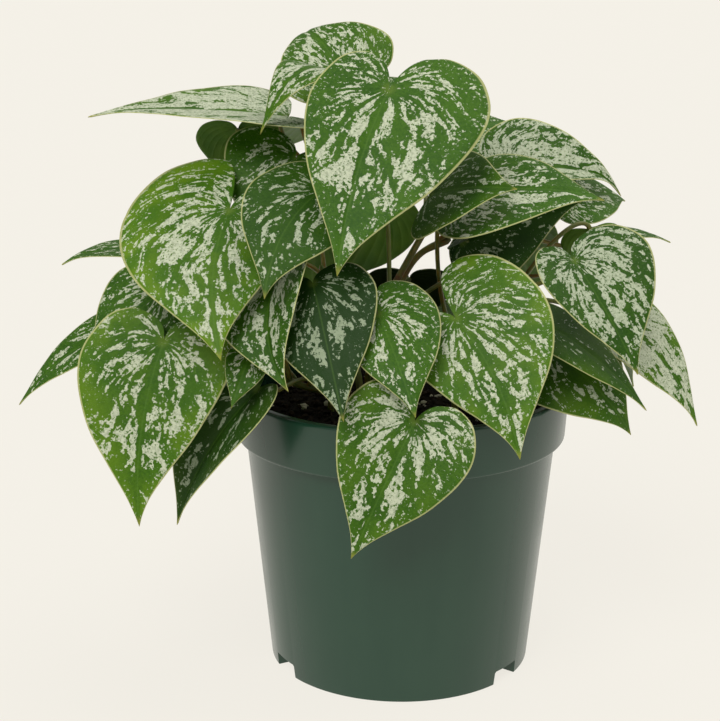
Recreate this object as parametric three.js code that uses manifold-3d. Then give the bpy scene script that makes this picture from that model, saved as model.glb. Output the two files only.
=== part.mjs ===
// A potted silver leaf philodendron. Heart-shaped leaves hang on bent leaf stalks, which rise from short
// vines rooted in the soil of a round nursery pot. Millimetres, +Z up. The origin is the centre of the
// pot's underside, -Y is the front and +X is to the right of someone facing the front.
import * as THREE from 'three';
import { mergeVertices } from 'three/addons/utils/BufferGeometryUtils.js';
import Module from 'manifold-3d';

const wasm = await Module();
wasm.setup();

// The pot, from a 165 mm (6.5 inch) nursery pot.
const POT_HEIGHT = 140.6;
const RIM_RADIUS = 82.5;
const BAND_RADIUS = 80.8;
const BAND_BOTTOM = 115.7;
const BODY_TOP_RADIUS = 76.3;
const BASE_RADIUS = 64.8;
const WALL = 1.8;
const RIM_WIDTH = 5.5;
const FLOOR = 2;
const POT_SIDES = 56;

// The drainage notches where the wall meets the floor, as directions in degrees from the front.
const NOTCH_DIRECTIONS = [-61, 52, 175];
const NOTCH_WIDTH = 19;
const NOTCH_HEIGHT = 7;
const NOTCH_DEPTH = 11;

// The soil fills the pot to 10 mm below the rim.
const SOIL_EDGE = 129;
const SOIL_CROWN = 131;
const SOIL_SIDES = 36;

const GAP = 0.3;
const BLADE_THICKNESS = 0.8;
const BLADE_ROWS = 8;
const BLADE_COLUMNS = 2;
const STALK_RADIUS = 1.2;
const STALK_SIDES = 5;
const STALK_STEPS = 7;
const STEM_SIDES = 7;
const STEM_STEPS = 10;
const STEM_FOOT = 112;
const SOCKET_GAP = 0.6;

const GREEN = 0x4a7a35;
const STALK_GREEN = 0x6f7d35;
const POT_GREEN = 0x3e5042;
const SOIL_BROWN = 0x2a221c;

// Half of a leaf's outline, from beside the sinus around the lobe to the tip: across as a share of the half
// width, and along as a share of the length from the sinus to the tip.
const OUTLINE = [
  [0.25, -0.155],
  [0.48, -0.18],
  [0.76, -0.13],
  [0.93, -0.02],
  [1.0, 0.1],
  [0.97, 0.22],
  [0.87, 0.35],
  [0.68, 0.52],
  [0.42, 0.68],
  [0.18, 0.83],
  [0.06, 0.93],
  [0.0, 1.0],
];

// Every leaf: base is its sinus, where the stalk joins, and tip its point. face is the direction that the
// upper side looks in: degrees around from the front towards +X, and degrees up. width is its full width.
// arch, sway and hook bend the midrib up, sideways and down at the point, as shares of the length. A pair
// holds the left and the right half's values: fold raises a half about the midrib in degrees, lobe
// lengthens it past the stalk, and notch narrows the sinus beside it. skew makes the right half wider than
// the left.
const LEAVES = {
  leaf_01: {
    base: [-27, 30, 286], tip: [-50, 70, 305], face: [-10, 50], width: 60, arch: 0.16, hook: 0.1,
    lobe: 0.5,
  },
  leaf_02: {
    base: [-24, 6, 283], tip: [-65, -37, 267], face: [-34, 50], width: 47, skew: 0.08, arch: 0.32,
  },
  leaf_03: {
    base: [-7, -35, 287], tip: [-30, -85, 212], face: [0, 30], width: 80, skew: 0.2, sway: -0.035,
    arch: 0.04, fold: 4, lobe: [1, 1.4],
  },
  leaf_04: {
    base: [-54, 4, 270], tip: [-147, -8, 273], face: [-10, 80], width: 70, arch: 0.03, fold: [5, 8],
    hook: 0.02, lobe: [0, 1],
  },
  leaf_05: { base: [-79, 18, 262], tip: [-76, 28, 228], face: [180, 20], width: 42 },
  leaf_07: { base: [-50, -12, 253], tip: [-73, -32, 214], face: [-5, 35], width: 66, arch: 0.05 },
  leaf_08: {
    base: [-79, -46, 234], tip: [-80, -95, 177], face: [-15, 35], width: 80, skew: -0.2, sway: -0.06,
    arch: 0.06, fold: [4, -16], lobe: [2.9, 1.2], notch: [0, 1],
  },
  leaf_09: {
    base: [-37, -50, 244], tip: [-61, -94, 204], face: [-8, 32], width: 56, sway: -0.08, arch: 0.06,
    fold: [0, -8], lobe: 1.6,
  },
  leaf_10: {
    base: [-122, 8, 205], tip: [-163, -6, 202], face: [-10, 86], width: 38, arch: 0.06, hook: 0.04,
  },
  leaf_11: { base: [-112, -30, 193], tip: [-146, -45, 158], face: [-20, 45], width: 52, arch: 0.08 },
  leaf_12: { base: [-135, -20, 174], tip: [-183, -25, 136], face: [-40, 55], width: 32, arch: 0.08 },
  leaf_13: {
    base: [-109, -58, 176], tip: [-120, -80, 95], face: [-8, 18], width: 70, sway: -0.05, arch: 0.03,
    fold: 5, notch: 0.3, lobe: 0.85,
  },
  leaf_15: {
    base: [-66, -64, 155], tip: [-105, -62, 89], face: [-40, 20], width: 55, skew: -0.08, sway: -0.04,
    arch: 0.05, fold: [25, 30], lobe: [1, 0.5],
  },
  leaf_16: { base: [-69, -70, 173], tip: [-77, -84, 152], face: [0, 35], width: 20 },
  leaf_17: {
    base: [-57, -57, 207], tip: [-51, -98, 164], face: [-30, 32], width: 54, sway: -0.1, arch: 0.05,
    fold: [20, 26], lobe: [0.6, 0.1],
  },
  leaf_18: {
    base: [-41, -66, 205], tip: [-27, -104, 152], face: [0, 28], width: 54, arch: 0.06, lobe: 0.6,
    fold: [-15, 0],
  },
  leaf_19: {
    base: [-12, -71, 192], tip: [4, -104, 154], face: [12, 32], width: 46, skew: 0.15, arch: 0.05,
    lobe: [0.3, 1.9], fold: [-15, 3],
  },
  leaf_20: {
    base: [23, -62, 188], tip: [50, -98, 133], face: [-6, 30], width: 70, skew: 0.1, sway: 0.06,
    arch: 0.05, fold: 5, lobe: [0.6, 2.3], notch: [1, 0],
  },
  leaf_21: { base: [4, -92, 149], tip: [-24, -104, 89], face: [-5, 18], width: 62, arch: 0.04, fold: 4 },
  leaf_22: {
    base: [78, -42, 210], tip: [105, -68, 163], face: [12, 30], width: 58, skew: 0.22, arch: 0.05,
    fold: [14, 2], notch: 0.2,
  },
  leaf_23: {
    base: [101, -18, 179], tip: [142, -24, 125], face: [40, 35], width: 46, sway: 0.03, arch: 0.08,
  },
  leaf_24: { base: [67, -46, 180], tip: [112, -54, 142], face: [30, 60], width: 34, arch: 0.06, lobe: 2 },
  leaf_25: { base: [67, -26, 164], tip: [108, -38, 125], face: [15, 25], width: 54, arch: 0.2 },
  leaf_26: {
    base: [50, 24, 242], tip: [109, 20, 236], face: [10, 55], width: 52, arch: 0.08, fold: 25, hook: 0.16,
  },
  leaf_27: { base: [80, 14, 228], tip: [114, 46, 222], face: [40, 55], width: 36, arch: 0.1 },
  leaf_28: {
    base: [31, -11, 235], tip: [92, -32, 237], face: [5, 60], width: 64, skew: -0.08, arch: 0.07,
    hook: 0.02,
  },
  leaf_29: {
    base: [13, -22, 237], tip: [50, -54, 245], face: [-5, 45], width: 54, skew: -0.05, arch: 0.06,
    lobe: [0.2, 1],
  },
  leaf_30: { base: [28, -20, 214], tip: [84, -25, 235], face: [0, 60], width: 52, fold: [-45, -33] },
  leaf_31: { base: [98, 20, 210], tip: [135, 30, 204], face: [20, 86], width: 28, arch: 0.08 },
  leaf_32: { base: [-8, -10, 229], tip: [-30, -35, 197], face: [170, 10], width: 40 },
  leaf_33: { base: [28, 52, 255], tip: [58, 74, 258], face: [20, 60], width: 40 },
  leaf_34: { base: [41, 14, 207], tip: [37, 0, 174], face: [-10, 30], width: 34 },
  leaf_36: { base: [90, -5, 217], tip: [93, -20, 194], face: [175, 10], width: 30, lobe: 0.3 },
  leaf_37: { base: [-6, 24, 276], tip: [16, 44, 281], face: [0, 60], width: 34 },
  leaf_41: { base: [-42, 64, 214], tip: [-46, 104, 160], face: [185, 30], width: 58, arch: 0.05 },
  leaf_42: { base: [50, 52, 214], tip: [76, 94, 162], face: [150, 30], width: 58, arch: 0.05 },
  leaf_43: { base: [-82, 44, 208], tip: [-114, 74, 158], face: [-135, 30], width: 54, arch: 0.05 },
  leaf_44: { base: [82, 32, 194], tip: [119, 48, 149], face: [112, 30], width: 52, arch: 0.05 },
  leaf_45: { base: [-106, 22, 184], tip: [-140, 36, 138], face: [-112, 30], width: 48, arch: 0.05 },
  leaf_46: { base: [96, 2, 170], tip: [118, 20, 132], face: [95, 30], width: 44, arch: 0.05 },
  leaf_47: { base: [-110, 4, 160], tip: [-138, 14, 112], face: [-95, 25], width: 48, arch: 0.05 },
  leaf_48: { base: [16, 68, 246], tip: [30, 102, 212], face: [162, 42], width: 58, arch: 0.06 },
  leaf_49: { base: [-48, 48, 262], tip: [-76, 88, 234], face: [-150, 50], width: 62, arch: 0.06 },
  leaf_50: { base: [32, 78, 158], tip: [44, 106, 104], face: [165, 22], width: 56, arch: 0.05 },
  leaf_51: { base: [-36, 78, 156], tip: [-50, 106, 102], face: [-162, 22], width: 58, arch: 0.05 },
  leaf_52: { base: [80, 48, 148], tip: [104, 68, 100], face: [125, 20], width: 52, arch: 0.05 },
  leaf_53: { base: [-84, 44, 150], tip: [-112, 62, 102], face: [-125, 20], width: 52, arch: 0.05 },
  leaf_54: { base: [5, 40, 184], tip: [4, 54, 148], face: [180, 25], width: 46 },
};

// Every vine: root is where it enters the soil and path the rest of its stem. Each of its leaves has the
// height of the node that the leaf stalk grows from. rise is how far the stalk first climbs and reach how
// far it runs straight under its leaf. bend is a point that draws the stalk's first part aside, past
// another leaf.
const VINES = {
  vine_1: {
    root: [-26, 6],
    path: [[-20, 5, 156], [-6, 1, 184], [9, 0, 212], [16, 2, 224]],
    radius: 1.9,
    leaves: {
      leaf_28: { node: 219 },
      leaf_26: { node: 221 },
      leaf_33: { node: 223 },
      leaf_48: { node: 216 },
    },
  },
  vine_2: {
    root: [-10, 12],
    path: [[-8, 10, 160], [-1, 6, 187], [9, 6, 203], [24, 9, 210]],
    radius: 1.9,
    leaves: {
      leaf_27: { node: 209 },
      leaf_31: { node: 207 },
      leaf_30: { node: 170, bend: [16, 2, 190] },
    },
  },
  vine_3: {
    root: [-20, -10],
    path: [[-24, -4, 165], [-26, 2, 205], [-22, 8, 240]],
    radius: 2,
    leaves: {
      leaf_01: { node: 236 },
      leaf_02: { node: 232 },
      leaf_03: { node: 220 },
      leaf_04: { node: 215 },
      leaf_37: { node: 238 },
      leaf_49: { node: 205 },
    },
  },
  vine_4: {
    root: [-34, 2],
    path: [[-44, -2, 158], [-56, -8, 190], [-62, -8, 212]],
    radius: 1.9,
    leaves: {
      leaf_08: { node: 180, bend: [-84, -22, 196], reach: 10 },
      leaf_09: { node: 180 },
      leaf_07: { node: 206 },
      leaf_05: { node: 209, slant: 60 },
      leaf_10: { node: 186, rise: 0 },
      leaf_45: { node: 162 },
    },
  },
  vine_5: {
    root: [-34, -18],
    path: [[-48, -26, 146], [-64, -34, 156]],
    radius: 1.7,
    leaves: {
      leaf_13: { node: 152 },
      leaf_12: { node: 153 },
      leaf_11: { node: 155 },
      leaf_15: { node: 142 },
      leaf_16: { node: 149, bend: [-60, -46, 192], reach: 5 },
      leaf_17: { node: 144, reach: 10 },
      leaf_47: { node: 147 },
    },
  },
  vine_6: {
    root: [-8, -32],
    path: [[-8, -38, 148], [-6, -46, 162]],
    radius: 1.7,
    leaves: {
      leaf_32: { node: 160 },
      leaf_18: { node: 152 },
      leaf_19: { node: 159 },
      leaf_20: { node: 156 },
      leaf_21: { node: 142 },
    },
  },
  vine_7: {
    root: [26, -14],
    path: [[34, -18, 150], [44, -22, 170], [50, -24, 182]],
    radius: 1.8,
    leaves: {
      leaf_22: { node: 180 },
      leaf_24: { node: 160 },
      leaf_25: { node: 148 },
      leaf_23: { node: 180, rise: 20, reach: 8 },
      leaf_36: { node: 176, slant: 60 },
    },
  },
  vine_8: {
    root: [24, 16],
    path: [[34, 24, 150], [42, 30, 172], [46, 32, 190]],
    radius: 1.8,
    leaves: {
      leaf_29: { node: 146, bend: [10, 4, 196], reach: 8 },
      leaf_34: { node: 168 },
      leaf_42: { node: 184 },
      leaf_44: { node: 176 },
      leaf_46: { node: 156 },
      leaf_50: { node: 146 },
      leaf_52: { node: 150 },
    },
  },
  vine_9: {
    root: [-16, 30],
    path: [[-24, 36, 150], [-34, 40, 176], [-40, 42, 190]],
    radius: 1.8,
    leaves: {
      leaf_41: { node: 186 },
      leaf_43: { node: 178 },
      leaf_51: { node: 146 },
      leaf_53: { node: 152 },
      leaf_54: { node: 149, slant: 60 },
    },
  },
};

const radians = THREE.MathUtils.degToRad;
const smooth = (x) => THREE.MathUtils.smoothstep(x, 0, 1);
const half = (value, side) => (Array.isArray(value) ? value[side < 0 ? 0 : 1] : value);

function direction([around, up]) {
  const a = radians(around);
  const e = radians(up);
  return new THREE.Vector3(Math.sin(a) * Math.cos(e), -Math.cos(a) * Math.cos(e), Math.sin(e));
}

// The outline as a smooth curve, from beside the sinus (0) to the tip (1).
function outlineAt(v) {
  const last = OUTLINE.length - 1;
  const i = Math.min(Math.floor(v * last), last - 1);
  const t = v * last - i;
  const point = (k) => {
    const edge = THREE.MathUtils.clamp(k, 0, last);
    const inner = edge + (edge - k);
    return OUTLINE[edge].map((value, axis) => value + (value - OUTLINE[inner][axis]));
  };
  const knot = (k) => (k < 0 || k > last ? point(k) : OUTLINE[k]);
  const [p0, p1, p2, p3] = [knot(i - 1), knot(i), knot(i + 1), knot(i + 2)];
  const spline = (a, b, c, d) =>
    0.5 * (2 * b + (c - a) * t + (2 * a - 5 * b + 4 * c - d) * t * t + (3 * b - a - 3 * c + d) * t * t * t);
  return [0, 1].map((axis) => spline(p0[axis], p1[axis], p2[axis], p3[axis]));
}

// A leaf's own directions, with its length and the height of its midrib above the straight line from base
// to tip.
function leafFrame(leaf) {
  const base = new THREE.Vector3(...leaf.base);
  const along = new THREE.Vector3(...leaf.tip).sub(base);
  const length = along.length();
  along.normalize();
  const up = direction(leaf.face);
  up.addScaledVector(along, -up.dot(along)).normalize();
  const across = new THREE.Vector3().crossVectors(up, along);
  const { arch = 0.06, hook = 0, sway = 0 } = leaf;
  const midrib = (b) => {
    const end = Math.max((b - 0.72) / 0.28, 0);
    return {
      height: 4 * arch * b * (1 - b) - hook * end * end,
      slope: 4 * arch * (1 - 2 * b) - (2 * hook * end) / 0.28,
      side: 4 * sway * (b < 0 ? 0.4 * b : b * (1 - b)),
    };
  };
  const normalAt = (b) => up.clone().addScaledVector(along, -midrib(b).slope).normalize();
  return { base, along, up, across, length, midrib, normalAt };
}

// A point of a leaf's middle surface: v runs around the outline, w from the midrib (0) to the margin (1)
// along a side vein, and side is 1 for the right half and -1 for the left.
function bladePoint(leaf, frame, v, w, side) {
  const { width, skew = 0 } = leaf;
  const lobe = half(leaf.lobe ?? 1, side);
  const notch = half(leaf.notch ?? 1, side);
  const fold = radians(half(leaf.fold ?? 0, side));
  const [outX, outY] = outlineAt(v);
  const edge = outY - 0.16 * (lobe - 1) * (1 - smooth(v / 0.6));
  const tight = (1 - notch) * (1 - smooth(v / 0.2));
  const start = Math.max((v - 0.25) / 0.75, 0) ** 1.5;
  const bow = smooth(v / 0.4);
  const bendX = outX * (0.25 + 0.3 * bow) * (1 - tight);
  const bendY = start + (edge - start) * (0.75 - 0.45 * bow + 0.15 * tight);
  const a = (2 * w * (1 - w) * bendX + w * w * outX) * (width / 2 / frame.length) * (1 + side * skew);
  const b = (1 - w) ** 2 * start + 2 * w * (1 - w) * bendY + w * w * edge;
  const rib = frame.midrib(b);
  return frame.base
    .clone()
    .addScaledVector(frame.along, frame.length * b)
    .addScaledVector(frame.up, frame.length * rib.height)
    .addScaledVector(frame.across, frame.length * (rib.side + side * a * Math.cos(fold)))
    .addScaledVector(frame.normalAt(b), frame.length * a * Math.sin(fold));
}

// A leaf blade: a thin sheet over the middle surface, closed all round its margin.
function bladeGeometry(leaf) {
  const frame = leafFrame(leaf);
  let sheet = new THREE.PlaneGeometry(2, 1, 2 * BLADE_COLUMNS, BLADE_ROWS);
  sheet.deleteAttribute('normal');
  sheet.deleteAttribute('uv');
  const flat = sheet.attributes.position;
  for (let i = 0; i < flat.count; i += 1) {
    const x = flat.getX(i);
    const p = bladePoint(leaf, frame, 0.5 - flat.getY(i), Math.abs(x), x < 0 ? -1 : 1);
    flat.setXYZ(i, p.x, p.y, p.z);
  }
  sheet = mergeVertices(sheet, 1e-3);
  const faces = [];
  for (let i = 0; i < sheet.index.count; i += 3) {
    const [a, b, c] = [0, 1, 2].map((k) => sheet.index.getX(i + k));
    if (a !== b && b !== c && c !== a) {
      faces.push([a, b, c]);
    }
  }
  sheet.setIndex(faces.flat());
  sheet.computeVertexNormals();
  const { position, normal } = sheet.attributes;
  const count = position.count;
  const points = [];
  for (const offset of [BLADE_THICKNESS / 2, -BLADE_THICKNESS / 2]) {
    for (let i = 0; i < count; i += 1) {
      points.push(position.getX(i) + offset * normal.getX(i));
      points.push(position.getY(i) + offset * normal.getY(i));
      points.push(position.getZ(i) + offset * normal.getZ(i));
    }
  }
  const edges = new Set(faces.flatMap(([a, b, c]) => [`${a},${b}`, `${b},${c}`, `${c},${a}`]));
  const index = faces.flatMap(([a, b, c]) => [a, b, c, c + count, b + count, a + count]);
  for (const name of edges) {
    const [a, b] = name.split(',').map(Number);
    if (!edges.has(`${b},${a}`)) {
      index.push(b, a, a + count, b, a + count, b + count);
    }
  }
  const blade = new THREE.BufferGeometry();
  blade.setAttribute('position', new THREE.Float32BufferAttribute(points, 3));
  blade.setIndex(index);
  return blade;
}

function solidOf(geometry) {
  const bare = geometry.clone();
  bare.deleteAttribute('normal');
  bare.deleteAttribute('uv');
  const merged = mergeVertices(bare, 1e-3);
  const vertProperties = new Float32Array(merged.attributes.position.array);
  const triVerts = new Uint32Array(merged.index.array);
  return new wasm.Manifold(new wasm.Mesh({ numProp: 3, vertProperties, triVerts }));
}

function geometryOf(solid) {
  const { vertProperties, triVerts } = solid.getMesh();
  const geometry = new THREE.BufferGeometry();
  geometry.setAttribute('position', new THREE.BufferAttribute(vertProperties, 3));
  geometry.setIndex(new THREE.BufferAttribute(triVerts, 1));
  return geometry;
}

function rod(curve, radius, sides, steps) {
  const section = new THREE.Shape();
  for (let i = 0; i < sides; i += 1) {
    const a = (2 * Math.PI * i) / sides;
    const [x, y] = [radius * Math.cos(a), radius * Math.sin(a)];
    if (i === 0) {
      section.moveTo(x, y);
    } else {
      section.lineTo(x, y);
    }
  }
  section.closePath();
  return new THREE.ExtrudeGeometry(section, { steps, extrudePath: curve });
}

function lathe(profile, sides) {
  const points = profile.map(([r, z]) => new THREE.Vector2(r, z));
  return new THREE.LatheGeometry(points, sides).rotateX(Math.PI / 2);
}

function stemCurve({ root, path }) {
  const straight = [0, 11, 22, 27].map((z) => new THREE.Vector3(...root, STEM_FOOT + z));
  return new THREE.CatmullRomCurve3([...straight, ...path.map((p) => new THREE.Vector3(...p))]);
}

// The point of a stem at a given height.
function nodeAt(curve, height) {
  let low = 0;
  let high = 1;
  for (let i = 0; i < 20; i += 1) {
    const middle = (low + high) / 2;
    if (curve.getPoint(middle).z < height) {
      low = middle;
    } else {
      high = middle;
    }
  }
  return curve.getPoint(low);
}

// A leaf stalk rises from its node and bends over to meet the underside of its leaf just past the sinus,
// square on or slanted back towards the sinus.
function stalkCurve(stem, leaf, { node, rise, reach, bend, slant = 0 }) {
  const frame = leafFrame(leaf);
  const b = 0.04;
  const rib = frame.midrib(b);
  const normal = frame.normalAt(b);
  const lean = radians(slant);
  const droop = radians(Math.max(-half(leaf.fold ?? 0, -1), -half(leaf.fold ?? 0, 1), 0));
  const clearance = BLADE_THICKNESS / 2 + GAP + STALK_RADIUS * (Math.tan(droop) + Math.sin(lean));
  const end = frame.base
    .clone()
    .addScaledVector(frame.along, frame.length * b)
    .addScaledVector(frame.up, frame.length * rib.height)
    .addScaledVector(frame.across, frame.length * rib.side)
    .addScaledVector(normal, -clearance);
  const arrival = normal.clone().multiplyScalar(Math.cos(lean)).addScaledVector(frame.along, Math.sin(lean));
  const start = nodeAt(stem, node);
  const span = start.distanceTo(end);
  const first = bend ? new THREE.Vector3(...bend) : start.clone().lerp(end, 0.2);
  first.z += bend ? 0 : (rise ?? 0.3 * span);
  const last = end.clone().addScaledVector(arrival, -(reach ?? 0.3 * span));
  return new THREE.CubicBezierCurve3(start, first, last, end);
}

function vineSolid(vine) {
  const stem = stemCurve(vine);
  let solid = solidOf(rod(stem, vine.radius, STEM_SIDES, STEM_STEPS));
  for (const [name, node] of Object.entries(vine.leaves)) {
    const stalk = stalkCurve(stem, LEAVES[name], node);
    solid = solid.add(solidOf(rod(stalk, STALK_RADIUS, STALK_SIDES, STALK_STEPS)));
  }
  return solid;
}

const insideRadius = (z) => THREE.MathUtils.mapLinear(z, 0, BAND_BOTTOM, BASE_RADIUS, BODY_TOP_RADIUS) - WALL;
const RIM_INNER = RIM_RADIUS - RIM_WIDTH;
const LEDGE = NOTCH_HEIGHT + WALL;
const LEDGE_RADIUS = BASE_RADIUS - NOTCH_DEPTH - 2 * WALL;

function potSolid() {
  let pot = solidOf(
    lathe(
      [
        [0, 0],
        [BASE_RADIUS, 0],
        [BODY_TOP_RADIUS, BAND_BOTTOM],
        [BAND_RADIUS, BAND_BOTTOM],
        [RIM_RADIUS, POT_HEIGHT - 1],
        [RIM_RADIUS - 1, POT_HEIGHT],
        [RIM_INNER + 1, POT_HEIGHT],
        [RIM_INNER, POT_HEIGHT - 1],
        [insideRadius(BAND_BOTTOM), BAND_BOTTOM],
        [insideRadius(LEDGE), LEDGE],
        [LEDGE_RADIUS, LEDGE],
        [LEDGE_RADIUS, FLOOR],
        [0, FLOOR],
      ],
      POT_SIDES,
    ),
  );
  for (const towards of NOTCH_DIRECTIONS) {
    const notch = new THREE.BoxGeometry(NOTCH_WIDTH, 2 * NOTCH_DEPTH, 2 * NOTCH_HEIGHT);
    notch.translate(0, -BASE_RADIUS, 0).rotateZ(radians(towards));
    pot = pot.subtract(solidOf(notch));
  }
  return pot;
}

function soilSolid() {
  const edge = insideRadius(SOIL_EDGE - 14) - GAP;
  let soil = solidOf(
    lathe(
      [
        [0, FLOOR + GAP],
        [LEDGE_RADIUS - GAP, FLOOR + GAP],
        [LEDGE_RADIUS - GAP, LEDGE + GAP],
        [insideRadius(LEDGE) - 2 * GAP, LEDGE + GAP],
        [edge, SOIL_EDGE - 14],
        [edge, SOIL_EDGE],
        [edge * 0.6, (SOIL_EDGE + SOIL_CROWN) / 2],
        [0, SOIL_CROWN],
      ],
      SOIL_SIDES,
    ),
  );
  for (const { root, radius } of Object.values(VINES)) {
    const socket = new THREE.CylinderGeometry(radius + SOCKET_GAP, radius + SOCKET_GAP, 60, 12);
    socket.rotateX(Math.PI / 2).translate(...root, STEM_FOOT - GAP + 30);
    soil = soil.subtract(solidOf(socket));
  }
  return soil;
}

const plant = new THREE.Group();

function addMesh(name, geometry, color, roughness) {
  geometry.computeVertexNormals();
  const material = new THREE.MeshStandardMaterial({ color, roughness, metalness: 0 });
  const mesh = new THREE.Mesh(geometry, material);
  mesh.name = name;
  plant.add(mesh);
}

addMesh('pot', geometryOf(potSolid()), POT_GREEN, 0.4);
addMesh('potting_soil', geometryOf(soilSolid()), SOIL_BROWN, 0.95);
for (const [name, vine] of Object.entries(VINES)) {
  addMesh(name, geometryOf(vineSolid(vine)), STALK_GREEN, 0.5);
}
for (const [name, leaf] of Object.entries(LEAVES)) {
  addMesh(name, bladeGeometry(leaf), GREEN, 0.45);
}

export default plant;
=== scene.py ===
import math
import random

import bmesh
import bpy
import numpy as np
from mathutils import Matrix, Vector, noise


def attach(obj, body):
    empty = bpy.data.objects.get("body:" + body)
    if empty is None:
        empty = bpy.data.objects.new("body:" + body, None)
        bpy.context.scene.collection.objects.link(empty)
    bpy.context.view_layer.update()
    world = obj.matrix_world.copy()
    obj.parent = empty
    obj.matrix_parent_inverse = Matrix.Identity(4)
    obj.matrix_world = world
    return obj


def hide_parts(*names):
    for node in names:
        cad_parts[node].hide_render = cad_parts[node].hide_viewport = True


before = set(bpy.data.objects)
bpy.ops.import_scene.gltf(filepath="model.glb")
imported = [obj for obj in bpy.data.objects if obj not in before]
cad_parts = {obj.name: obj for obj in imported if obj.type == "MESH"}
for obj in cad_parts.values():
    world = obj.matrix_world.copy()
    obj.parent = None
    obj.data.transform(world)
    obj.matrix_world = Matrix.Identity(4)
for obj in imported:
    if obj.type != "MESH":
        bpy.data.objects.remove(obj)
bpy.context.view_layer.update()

MM = 0.001

# The camera stands in front of the plant, a little to the left, and looks down on it.
CAMERA_PLACE = (-0.020, -0.800, 0.370)
CAMERA_DOWN = 0.267
CAMERA_LENS = 84.5

# The sky and the suns. Each sun has a strength, a softness in degrees and the direction it is seen in.
LIGHT_COLOR = (1.0, 0.985, 0.955)
SKY_BRIGHTNESS = 0.38
SUNS = {"key": (1.85, 32, (-0.35, -0.85, 1.0)), "top": (1.1, 60, (0.45, 0.25, 1.0))}

# The floor glows a little, like a light table, so that shadows on it stay pale.
FLOOR_SIZE = 30
FLOOR_GLOW = (1.0, 0.965, 0.885)
FLOOR_BRIGHTNESS = 0.813

# The pot and its notches.
POT_HEIGHT = 140.6
RIM_RADIUS = 82.5
BAND_RADIUS = 80.8
BAND_BOTTOM = 115.7
BODY_TOP_RADIUS = 76.3
BASE_RADIUS = 64.8
WALL = 1.8
RIM_WIDTH = 5.5
FLOOR = 2.0
NOTCH_DIRECTIONS = (-61, 52, 175)
NOTCH_WIDTH = 19
NOTCH_HEIGHT = 7
NOTCH_DEPTH = 11

SOIL_EDGE = 129
SOIL_CROWN = 131

BLADE_THICKNESS = 0.6
BLADE_ROWS = 60
BLADE_COLUMNS = 16
SINUS_V = 0.25
HOOK_START = 0.72
HOOK_SHARE = 0.28
STALK_RADIUS = 1.2
STEM_FOOT = 112

OUTLINE = np.array([
    (0.25, -0.155), (0.48, -0.18), (0.76, -0.13), (0.93, -0.02), (1.0, 0.10), (0.97, 0.22),
    (0.87, 0.35), (0.68, 0.52), (0.42, 0.68), (0.18, 0.83), (0.06, 0.93), (0.0, 1.0),
])

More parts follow.
